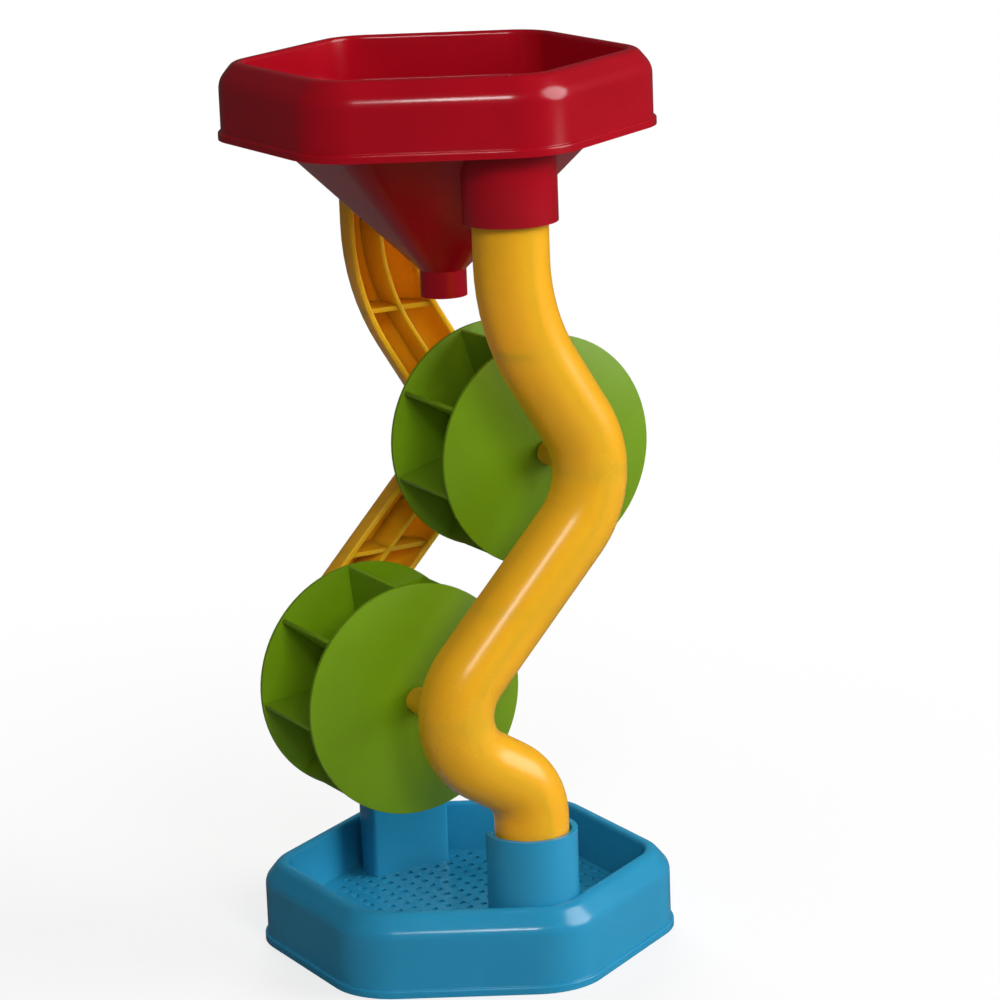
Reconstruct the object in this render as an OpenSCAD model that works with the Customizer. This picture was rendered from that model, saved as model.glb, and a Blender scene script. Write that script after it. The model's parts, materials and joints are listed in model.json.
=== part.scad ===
// Sand wheel toy: a hexagonal hopper on two zigzag columns, two paddle wheels, a hexagonal sieve tray.
// Lengths are in millimetres. +Z is up, the wheels turn about lines along Y, and the front is -Y.
// The origin lies under the middle of the tray, on the ground.

/* [Overall] */
// Height from the ground to the top of the hopper's rim
total_h = 280; // [274:1:300]
// Wall thickness of the mouldings
wall_t = 1.8; // [1.4:0.1:2.2]

/* [Rims] */
// Radius of the rounded corners of both hexagons
corner_r = 21; // [16:1:24]
// Width of a rim from its outer wall to its inner wall
rim_w = 7.8; // [7.6:0.2:9]
// Height of the sloping shoulder on top of a rim
shoulder_h = 5.5; // [4.5:0.1:6.5]
// Width of the sloping shoulder
shoulder_w = 4.5; // [4:0.1:5]
// Rounding where the wall meets the shoulder
shoulder_r = 6; // [2:0.5:7]
// Rounding where the shoulder meets the flat top
crest_r = 3.5; // [1:0.5:4]
// Rounding of the rim's inner top edge
edge_r = 1.2; // [0.5:0.1:1.4]
// Height of the bead round the bottom edge
bead_h = 2.4; // [1.6:0.1:4]
// How far the bead stands out from the wall
bead_out = 0.9; // [0.4:0.1:1.4]
// Depth of the inner wall, from the rim's top down
rim_depth = 16; // [13:0.5:17]

/* [Tray] */
// Distance from the middle of the tray to each flat side
tray_a = 58.5; // [56:0.5:66]
// Height of the tray's outer wall up to its shoulder
tray_wall_h = 20; // [18:0.5:26]
// Thickness of the perforated floor
floor_t = 2; // [1.5:0.1:3]
// Distance between neighbouring holes of the floor
hole_pitch = 5; // [4:0.5:8]
// Side of a square hole of the floor
hole_side = 2.2; // [1.5:0.1:2.8]
// Solid margin of the floor along walls and sockets
hole_margin = 0.9; // [0.8:0.1:4]

/* [Sockets] */
// Distance from the middle of the toy to the middle of each tray socket
tray_socket_y = 41.7; // [41.5:0.1:41.9]
// Outer radius of a socket
socket_r = 14.4; // [14:0.1:15]
// Height of the tray's sockets above the ground
tray_socket_top = 45.5; // [38:0.5:49]
// Height of the lower edge of the hopper's sockets above the ground
hopper_socket_low = 234.5; // [228:0.5:236]
// Depth of a column's seat in the hopper's sockets
seat_depth = 8.7; // [6:0.1:9.5]
// Width of the ledge that a column's top stands against
ledge_w = 2.2; // [1.5:0.1:3]

/* [Hopper] */
// Distance from the middle of the hopper to each flat side
hopper_a = 59.7; // [58:0.5:66]
// Height of the hopper's outer wall up to its shoulder
hopper_wall_h = 17.8; // [16:0.5:20]
// Outer radius of the spout
spout_r = 7.2; // [6:0.1:9]
// Height of the spout's mouth above the ground
spout_low = 206; // [202:0.5:210]
// Length of the straight spout
spout_len = 7.8; // [5:0.1:10]

/* [Columns] */
// Distance from the middle of the toy to the middle of each column and hopper socket
column_y = 42.6; // [42.3:0.1:43]
// Outer radius of a column's half-round front
column_r = 11.4; // [10:0.1:11.6]
// Length of a column's flat sides, behind the half-round front
side_len = 3.6; // [2:0.1:4.5]
// Thickness of the ribs inside a column
rib_t = 1.4; // [1:0.1:2]
// How far the long rib stays below the open side
rib_recess = 0.8; // [0.4:0.1:1.2]
// How far the cross ribs stay below the open side
cross_recess = 1.4; // [1.3:0.1:2.5]
// Height where the upper straight part starts to lean out
lean_z = 204.3; // [200:0.5:208]
// Radius of the top bend
lean_r = 66; // [40:1:68]
// How far the upper corner of the zigzag stands out
upper_x = 31.7; // [28:0.1:33]
// Height of the upper corner
upper_z = 152.4; // [150:0.1:155]
// Radius of the upper corner
upper_r = 28; // [20:0.5:30]
// How far the lower corner of the zigzag stands out
lower_x = 36.1; // [32:0.1:37]
// Height of the lower corner
lower_z = 81.4; // [79:0.1:84]
// Radius of the lower corner
lower_r = 19.5; // [15:0.5:21]
// Height where the column comes back to the middle
return_z = 59; // [56:0.5:60]
// Radius of the bottom bend
return_r = 16; // [13:0.5:20]
// Height of the cross ribs above and below the upper axle
cross_rib_gap = 39; // [34:1:40]
// Clearance between a column's end plates and their sockets
socket_gap = 0.15; // [0.1:0.05:0.3]

/* [Wheels] */
// Radius of the wheels
wheel_r = 36.4; // [30:0.2:37]
// Width of a wheel over both discs
wheel_w = 34.4; // [26:0.2:38]
// Thickness of a wheel's discs
disc_t = 1.6; // [1.2:0.1:2.4]
// Number of paddles on a wheel
paddles = 8; // [6:1:10]
// Thickness of a paddle
paddle_t = 1.4; // [1:0.1:2.4]
// How far the paddles stay inside the disc's edge
paddle_inset = 0.4; // [0.2:0.1:2]
// Radius of a wheel's hub
hub_r = 5; // [4:0.1:8]
// Radius of the spigot that holds the cover disc
spigot_r = 3.6; // [3.2:0.1:3.8]
// Turn of the upper wheel's paddles, in degrees
upper_turn = 16; // [0:1:44]
// Turn of the lower wheel's paddles, in degrees
lower_turn = 6; // [0:1:44]

/* [Axles] */
// Radius of the axle rods
axle_r = 2; // [1.6:0.1:2.4]
// Radius of the bosses that hold the axles
boss_r = 4; // [3.6:0.1:5]
// Depth of an axle's seat in a boss
boss_bore = 14; // [8:0.5:18]
// Gap between a boss and the wheel's disc
boss_gap = 0.5; // [0.3:0.1:1.5]
// Radial clearance of a wheel on its axle
axle_gap = 0.08; // [0.05:0.01:0.1]
// Radial clearance of an axle in its boss
seat_gap = 0.02; // [0.01:0.01:0.05]

/* [Hidden] */
$fn = 96;

// Facets round a corner of the funnel and round a column, and points along a rounding in an outline
funnel_fn = 32;
column_fn = 48;
arc_steps = 5;
bend_steps = 16;
// Overrun of the cuts
cut = 1;
// Clearance round the spigot, and between an axle's end and the bottom of its seat
spigot_gap = 0.1;
end_gap = 0.3;
// How far the column's straight parts run into its bends, and how much slimmer they are
run_in = 0.3;
run_slim = 0.02;
// Share of a wall's thickness by which joined mouldings run into it
bite_share = 0.5;
rib_bite_share = 0.3;
boss_bite_share = 0.7;
// Share of a wall's thickness for the thin slabs that end the funnel, and for its lap with the spout
slab_share = 0.25;

// Heights of the tray and the hopper
tray_h = tray_wall_h + shoulder_h;
hopper_h = hopper_wall_h + shoulder_h;
hopper_low = total_h - hopper_h;
floor_top = tray_h - rim_depth;
funnel_top = total_h - rim_depth;
socket_bore_r = socket_r - wall_t;
socket_flat_y = column_y - side_len - socket_gap - wall_t;
seat_top = hopper_socket_low + seat_depth;

// Slope of the shoulder
slope = atan2(shoulder_h, shoulder_w);

// Corners of the zigzag from the top down, and the radius at each
column_top = seat_top;
column_low = floor_top;
corners = [[0, column_top], [0, lean_z], [upper_x, upper_z], [-lower_x, lower_z], [0, return_z], [0, column_low]];
radii = [0, lean_r, upper_r, lower_r, return_r, 0];

// The axles lie where the two big bends reach out farthest
upper_axle_x = bend_centre(2)[0] + upper_r;
upper_axle_z = bend_centre(2)[1];
lower_axle_x = bend_centre(3)[0] - lower_r;
lower_axle_z = bend_centre(3)[1];
half_w = wheel_w / 2;
boss_end = half_w + boss_gap;
axle_half = boss_end + boss_bore - end_gap;

function unit(v) = v / norm(v);
function toward(i, j) = unit(corners[j] - corners[i]);
function bend_half(i) = acos(toward(i, i - 1) * toward(i, i + 1)) / 2;
function tangent_len(i) = radii[i] == 0 ? 0 : radii[i] / tan(bend_half(i));
function bend_centre(i) = corners[i] + unit(toward(i, i - 1) + toward(i, i + 1)) * radii[i] / sin(bend_half(i));
function heading(v) = atan2(v[1], v[0]);
function short_turn(a) = a > 180 ? a - 360 : a < -180 ? a + 360 : a;

// Points along an arc round c, both ends included
function arc(c, r, from, to) = [for (k = [0:arc_steps]) let (a = from + (to - from) * k / arc_steps)
    c + r * [cos(a), sin(a)]];

// Distance from the middle of a hexagon to the middle of its rounded corners
function corner_reach(a, r) = (a - r) / cos(30);

// Outline of a rim's wall: x runs outwards from the middle of a rounded corner, y is the height.
// slim takes a little off every side.
module rim_outline(rim_h, slim) {
    o = corner_r;
    wall_h = rim_h - shoulder_h;
    shoulder_run = shoulder_r * tan((90 - slope) / 2);
    crest_run = crest_r * tan(slope / 2);
    skin = wall_t - slim;
    under = rim_h - skin;
    low = rim_h - rim_depth - floor_t + slim;
    polygon(concat(
        [[o - skin, slim], [o + bead_out - slim, slim]],
        arc([o, bead_h - bead_out], bead_out - slim, 0, 90),
        [[o - slim, bead_h - slim]],
        arc([o - shoulder_r, wall_h - shoulder_run], shoulder_r - slim, 0, 90 - slope),
        arc([o - shoulder_w - crest_run, rim_h - crest_r], crest_r - slim, 90 - slope, 90),
        arc([o - rim_w + edge_r, rim_h - edge_r], edge_r - slim, 90, 180),
        [[o - rim_w + slim, low], [o - rim_w + skin, low], [o - rim_w + skin, under]],
        [[o - (skin + cos(slope) * (shoulder_h - skin)) / sin(slope), under]],
        [[o - skin, wall_h - skin * (1 - sin(slope)) / cos(slope)]]
    ));
}

// Rim round a hexagon of half width a: rounded corners, and walls that run a little into them
module hex_rim(a, rim_h) {
    reach = corner_reach(a, corner_r);
    for (i = [0:5])
        rotate([0, 0, 60 * i])
        translate([0, reach, 0])
        rotate([0, 0, 60]) {
            rotate_extrude(angle = 60)
                rim_outline(rim_h, 0);
            translate([0, run_in, 0])
                rotate([90, 0, 0])
                linear_extrude(reach + 2 * run_in)
                rim_outline(rim_h, run_slim);
        }
}

// Floor of the tray, up to the middle of the rim's inner wall
module floor_plate() {
    inset = rim_w - wall_t * bite_share;
    half_diagonal = (tray_a - inset) / cos(30);
    linear_extrude(floor_t)
        intersection() {
            circle(r = corner_reach(tray_a, corner_r) + corner_r - inset);
            polygon([for (t = [30:60:330]) half_diagonal * [cos(t), sin(t)]]);
        }
}

// True where a hole of the floor stays clear of the walls and the sockets
function in_floor(p) = let (
        reach = tray_a - rim_w - hole_margin - hole_side,
        clear = hole_margin + hole_side / 2
    )
    max([for (t = [0:60:300]) p * [cos(t), sin(t)]]) < reach
    && (norm([p[0], tray_socket_y - abs(p[1])]) > socket_r + clear || abs(p[1]) < socket_flat_y - clear);

module floor_holes() {
    rows = floor(tray_a / hole_pitch);
    for (i = [-rows:rows], j = [-rows:rows]) {
        p = [(i + 1 / 2) * hole_pitch, j * hole_pitch];
        if (in_floor(p))
            translate([p[0] - hole_side / 2, p[1] - hole_side / 2, floor_top - floor_t - cut])
            cube([hole_side, hole_side, floor_t + 2 * cut]);
    }
}

// Places a child at the front, and its mirror image at the rear
module both_ends() {
    for (side = [0, 1])
        mirror([0, side, 0])
        children();
}

// Outline of the front socket: a circle round middle_y with a flat towards the middle of the toy
module socket_outline(middle_y, inset) {
    r = socket_r - inset;
    translate([0, -middle_y])
        intersection() {
            circle(r = r);
            translate([-r, -r])
                square([2 * r, r + middle_y - socket_flat_y - inset]);
        }
}

module base_tray() {
    color("deepskyblue")
    difference() {
        union() {
            hex_rim(tray_a, tray_h);
            translate([0, 0, floor_top - floor_t])
                floor_plate();
            translate([0, 0, floor_top - floor_t * bite_share])
                both_ends()
                linear_extrude(tray_socket_top - floor_top + floor_t * bite_share)
                socket_outline(tray_socket_y, 0);
        }
        translate([0, 0, floor_top])
            both_ends()
            linear_extrude(tray_socket_top - floor_top + cut)
            socket_outline(tray_socket_y, wall_t);
        floor_holes();
    }
}

// Closed form between a rounded hexagon at the funnel's top and a circle at the spout
module funnel_form(inset, spout, extra) {
    a = hopper_a - rim_w + inset;
    r = corner_r - rim_w + inset;
    slab = wall_t * slab_share;
    hull() {
        translate([0, 0, spout_low + spout_len - slab])
            cylinder(r = spout, h = slab, $fn = funnel_fn);
        for (i = [0:5])
            rotate([0, 0, 90 + 60 * i])
            translate([corner_reach(a, r), 0, funnel_top])
            cylinder(r = r, h = slab + extra, $fn = funnel_fn);
    }
}

// The hopper's socket, open below, with a ledge for the column's top
module hopper_socket() {
    difference() {
        translate([0, 0, hopper_socket_low])
            linear_extrude(funnel_top - hopper_socket_low)
            socket_outline(column_y, 0);
        translate([0, 0, hopper_socket_low - cut])
            linear_extrude(seat_depth + cut)
            socket_outline(column_y, wall_t);
        translate([0, 0, hopper_socket_low])
            linear_extrude(funnel_top - hopper_socket_low + cut)
            socket_outline(column_y, wall_t + ledge_w);
    }
}

module hopper() {
    bite = wall_t * bite_share;
    spout_bore_r = spout_r - wall_t;
    spout_lap = wall_t * slab_share;
    color("crimson")
    difference() {
        union() {
            translate([0, 0, hopper_low])
                hex_rim(hopper_a, hopper_h);
            both_ends()
                hopper_socket();
            funnel_form(bite, spout_r - spout_lap, 0);
            translate([0, 0, spout_low])
                cylinder(r = spout_r, h = spout_len + bite);
        }
        funnel_form(-spout_lap, spout_bore_r - spout_lap, cut);
        translate([0, 0, spout_low - cut])
            cylinder(r = spout_bore_r, h = spout_len + 2 * cut);
    }
}

// Section of a column: x runs across, and the half-round side faces the given way along y
module column_section(way, inset) {
    r = column_r - inset;
    side = side_len - inset;
    intersection() {
        circle(r = r);
        translate([-r, way > 0 ? 0 : -r])
            square([2 * r, r]);
    }
    translate([-r, way > 0 ? -side : 0])
        square([2 * r, side]);
}

// Wall of a column; slim takes a little off both sides
module shell_section(way, slim) {
    inner = wall_t - slim;
    difference() {
        column_section(way, slim);
        column_section(way, inner);
        translate([-column_r + inner, way > 0 ? -side_len - cut : 0])
            square([2 * (column_r - inner), side_len + cut]);
    }
}

// Sweeps a section down the straight parts of the zigzag; they reach a little into the bends
module straight_runs(reach) {
    for (i = [0:4]) {
        run = corners[i + 1] - corners[i];
        before = i == 0 ? 0 : reach - tangent_len(i);
        after = i == 4 ? 0 : reach - tangent_len(i + 1);
        start = corners[i] - unit(run) * before;
        translate([start[0], 0, start[1]])
            rotate([0, atan2(run[0], run[1]), 0])
            linear_extrude(norm(run) + before + after)
            children();
    }
}

// Sweeps a section round the four bends
module bends() {
    for (i = [1:4]) {
        c = bend_centre(i);
        first = heading(corners[i] + toward(i, i - 1) * tangent_len(i) - c);
        last = heading(corners[i] + toward(i, i + 1) * tangent_len(i) - c);
        turn = short_turn(last - first);
        translate([c[0], 0, c[1]])
            rotate([90, 0, 0])
            rotate([0, 0, min(first, first + turn)])
            rotate_extrude(angle = abs(turn))
            translate([radii[i], 0])
            children();
    }
}

// Line at a distance w to the right of the zigzag, from the top down
function beside(w) = concat(
    [[w, column_top]],
    [for (i = [1:4]) let (
        c = bend_centre(i),
        first = heading(corners[i] + toward(i, i - 1) * tangent_len(i) - c),
        last = heading(corners[i] + toward(i, i + 1) * tangent_len(i) - c),
        turn = short_turn(last - first),
        r = radii[i] - sign(turn) * w
    ) for (k = [1 / 2:bend_steps]) let (a = first + turn * k / bend_steps) c + r * [cos(a), sin(a)]],
    [[w, column_low]]
);

// Long rib down the middle of a column
module long_rib() {
    line = beside(rib_t / 2);
    translate([0, side_len - rib_recess, 0])
        rotate([90, 0, 0])
        linear_extrude(column_r - wall_t * rib_bite_share + side_len - rib_recess)
        polygon(concat(beside(-rib_t / 2), [for (i = [len(line) - 1:-1:0]) line[i]]));
}

// Level cross ribs, cut to the inside of the shell
module cross_ribs() {
    intersection() {
        union() {
            straight_runs(0)
                column_section(-1, wall_t * bite_share);
            bends()
                column_section(1, wall_t * bite_share);
        }
        translate([-upper_x - lower_x, -column_r, 0])
            for (z = [upper_axle_z + cross_rib_gap, upper_axle_z, upper_axle_z - cross_rib_gap, lower_axle_z])
                translate([0, 0, z - rib_t / 2])
                cube([2 * (upper_x + lower_x), column_r + side_len - cross_recess, rib_t]);
    }
}

// Plate that centres a column's end in its socket; the socket's middle lies an offset away from the column's
module end_plate(offset_y) {
    r = socket_bore_r - socket_gap;
    linear_extrude(wall_t)
        translate([0, offset_y])
        intersection() {
            circle(r = r);
            translate([-r, -r])
                square([2 * r, r + side_len - offset_y]);
        }
}

module axle_boss(x, z, r, from, to) {
    translate([x, to, z])
        rotate([90, 0, 0])
        cylinder(r = r, h = to - from);
}

// The front column stands on its socket's floor and ends at the ledge in the hopper's socket
module column() {
    $fn = column_fn;
    shell_inside = wall_t * boss_bite_share - column_r;
    difference() {
        union() {
            straight_runs(run_in)
                shell_section(-1, run_slim);
            bends()
                shell_section(1, 0);
            long_rib();
            cross_ribs();
            translate([0, 0, column_low])
                end_plate(column_y - tray_socket_y);
            translate([0, 0, column_top - wall_t])
                end_plate(0);
            axle_boss(upper_axle_x, upper_axle_z, boss_r, shell_inside, column_y - boss_end);
            axle_boss(lower_axle_x, lower_axle_z, boss_r, shell_inside, column_y - boss_end);
        }
        for (p = [[upper_axle_x, upper_axle_z], [lower_axle_x, lower_axle_z]])
            axle_boss(p[0], p[1], axle_r + seat_gap, column_y - boss_end - boss_bore, column_y - boss_end + cut);
    }
}

module front_column() {
    color("gold")
    translate([0, -column_y, 0])
        column();
}

module rear_column() {
    color("gold")
    mirror([0, 1, 0])
        translate([0, -column_y, 0])
        column();
}

// Turns a wheel built about z so that its upper side faces the front
module on_axle(x, z, turn) {
    translate([x, 0, z])
        rotate([90, 0, 0])
        rotate([0, 0, turn])
        children();
}

// Rear disc, paddles and hub in one moulding
module paddle_wheel() {
    inner_w = wheel_w - 2 * disc_t;
    difference() {
        union() {
            translate([0, 0, -half_w])
                cylinder(r = wheel_r, h = disc_t);
            for (i = [0:paddles - 1])
                rotate([0, 0, 360 / paddles * i])
                translate([0, -paddle_t / 2, -half_w + disc_t * bite_share])
                cube([wheel_r - paddle_inset, paddle_t, inner_w + disc_t * bite_share]);
            translate([0, 0, -half_w])
                cylinder(r = hub_r, h = disc_t + inner_w);
            translate([0, 0, -half_w])
                cylinder(r = spigot_r, h = wheel_w);
        }
        translate([0, 0, -half_w - cut])
            cylinder(r = axle_r + axle_gap, h = wheel_w + 2 * cut);
    }
}

// Front disc, pushed onto the hub's spigot
module cover_disc() {
    translate([0, 0, half_w - disc_t])
        difference() {
            cylinder(r = wheel_r, h = disc_t);
            translate([0, 0, -cut])
                cylinder(r = spigot_r + spigot_gap, h = disc_t + 2 * cut);
        }
}

module axle_rod() {
    translate([0, 0, -axle_half])
        cylinder(r = axle_r, h = 2 * axle_half);
}

module upper_wheel() {
    color("yellowgreen")
    on_axle(upper_axle_x, upper_axle_z, upper_turn)
        paddle_wheel();
}

module upper_wheel_cover() {
    color("yellowgreen")
    on_axle(upper_axle_x, upper_axle_z, upper_turn)
        cover_disc();
}

module lower_wheel() {
    color("yellowgreen")
    on_axle(lower_axle_x, lower_axle_z, lower_turn)
        paddle_wheel();
}

module lower_wheel_cover() {
    color("yellowgreen")
    on_axle(lower_axle_x, lower_axle_z, lower_turn)
        cover_disc();
}

module upper_axle() {
    color("gainsboro")
    on_axle(upper_axle_x, upper_axle_z, 0)
        axle_rod();
}

module lower_axle() {
    color("gainsboro")
    on_axle(lower_axle_x, lower_axle_z, 0)
        axle_rod();
}

base_tray();
front_column();
rear_column();
hopper();
upper_wheel();
upper_wheel_cover();
lower_wheel();
lower_wheel_cover();
upper_axle();
lower_axle();
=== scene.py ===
"""Sand wheel toy: a hopper, two zigzag columns, two paddle wheels and a sieve tray, with their finish."""

import json
import math

import bmesh
import bpy
from mathutils import Matrix, Vector


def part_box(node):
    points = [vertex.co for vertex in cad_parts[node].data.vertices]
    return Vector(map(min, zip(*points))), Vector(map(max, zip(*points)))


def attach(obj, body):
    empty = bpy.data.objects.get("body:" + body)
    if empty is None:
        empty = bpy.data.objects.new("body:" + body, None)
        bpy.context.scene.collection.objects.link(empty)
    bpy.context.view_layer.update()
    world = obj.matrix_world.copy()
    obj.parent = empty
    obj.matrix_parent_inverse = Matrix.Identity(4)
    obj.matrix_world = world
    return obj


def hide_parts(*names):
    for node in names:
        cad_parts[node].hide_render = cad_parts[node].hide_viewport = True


bl_info = {
    "name": "Sand Wheel Toy",
    "version": (1, 0, 0),
    "blender": (4, 5, 0),
    "location": "3D View > Sidebar > Sand Toy",
    "description": "Builds the mouldings and the stage of a sand wheel toy",
    "category": "Add Mesh",
}

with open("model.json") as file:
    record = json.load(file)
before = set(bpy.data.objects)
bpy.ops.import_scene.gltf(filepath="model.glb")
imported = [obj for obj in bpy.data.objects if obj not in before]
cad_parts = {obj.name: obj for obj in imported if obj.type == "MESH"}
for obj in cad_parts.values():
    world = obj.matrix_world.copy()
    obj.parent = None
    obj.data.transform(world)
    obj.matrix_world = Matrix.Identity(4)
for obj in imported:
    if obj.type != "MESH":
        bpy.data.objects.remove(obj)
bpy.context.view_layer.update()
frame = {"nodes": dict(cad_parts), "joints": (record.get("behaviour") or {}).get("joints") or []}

MM = 0.001
# Rounded hexagons have corners towards +Y and -Y
CORNERS = 6
SECTOR = 360 / CORNERS
FIRST_CORNER = 90
HALF_SECTOR = math.radians(SECTOR / 2)
# Faces that turn by less are shaded smooth, and edges that turn by more are softened
SMOOTH_BELOW = math.radians(35)
EDGE_ABOVE = math.radians(60)
# Distances in metres at which points count as one: on a cutting plane, in a skin and in a finished piece
ON_PLANE = 1e-7
SKIN_MERGE = 5e-6
PIECE_MERGE = 0.5e-6
# Facets of full circles
DISC_FACETS = 96
SOCKET_FACETS = 72
COLUMN_FACETS = 64
HUB_FACETS = 64
PLATE_FACETS = 48
BOSS_FACETS = 48
# Steps of the fillets: in the tray's and the hopper's outline, round the corners of a hexagon and
# of a socket, and on the walls' open edges
PATH_STEPS = 5
HOPPER_PATH_STEPS = 6
CORNER_STEPS = 10
SOCKET_STEPS = 4
WALL_EDGE_STEPS = 3
# Facets along each flat side of a column's section
SIDE_STEPS = 2
# Rings along the funnel's slope, and cuts of a socket's flat side, so that both follow each other
FUNNEL_STEPS = 9
FLAT_CUTS = 15
# Least steps of a bend, and degrees that each step turns
LEAST_BEND_STEPS = 6
BEND_STEP = 4
# Halvings in the search for the funnel's height
HALVINGS = 30
# Shares of a wall by which mouldings run into it, and of a disc by which the paddles run into both discs
SOCKET_BITE_SHARE = 0.6
RIB_BITE_SHARE = 0.6
BOSS_BITE_SHARE = 0.4
PADDLE_BITE_SHARES = (0.1, 0.5)
# Share of a hub's radius at which the paddles begin
PADDLE_START_SHARE = 0.8
# Fillets at the outer and the inner edge of the bead's top, as shares of its width
BEAD_ROUND_SHARES = (0.55, 0.3)
# Share of a fillet that its middle keeps from the corner
FILLET_SHARE = 0.3
# Share of a thickness within which an edge lies at the open side
NEAR_SHARE = 1 / 9


def node_box(name):
    """Lowest and highest corner of a CAD node."""
    low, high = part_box(name)
    return Vector(low), Vector(high)


def axle_place(joint_name):
    """Point on a wheel's axle, from the joint that turns it."""
    for joint in frame["joints"]:
        if joint["name"] == joint_name:
            return Vector(joint["pos_m"])
    raise RuntimeError(f"no joint is called {joint_name}")


TRAY_LOW, TRAY_HIGH = node_box("base_tray")
HOPPER_LOW, HOPPER_HIGH = node_box("hopper")
COLUMN_LOW, COLUMN_HIGH = node_box("front_column")
WHEEL_LOW, WHEEL_HIGH = node_box("upper_wheel")
UPPER_AXLE = axle_place("upper_wheel_spin")
LOWER_AXLE = axle_place("lower_wheel_spin")


def length(name, description, default):
    """A length in metres that a user may change."""
    return bpy.props.FloatProperty(
        name=name, description=description, default=default, unit="LENGTH", precision=5
    )


def angle(name, description, degrees):
    """An angle that a user may change."""
    return bpy.props.FloatProperty(
        name=name, description=description, default=math.radians(degrees), unit="ROTATION"
    )


def bend_place(name, description, x, height, radius):
    """A bend of the columns' path that a user may change: place along X, height and radius, in metres."""
    default = (x * MM, height * MM, radius * MM)
    return bpy.props.FloatVectorProperty(
        name=name, description=description, default=default, size=3, unit="LENGTH", precision=5
    )


def colour(name, description, default):
    """A linear colour that a user may change."""
    return bpy.props.FloatVectorProperty(
        name=name, description=description, default=default, subtype="COLOR", size=3, min=0, max=1
    )


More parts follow.
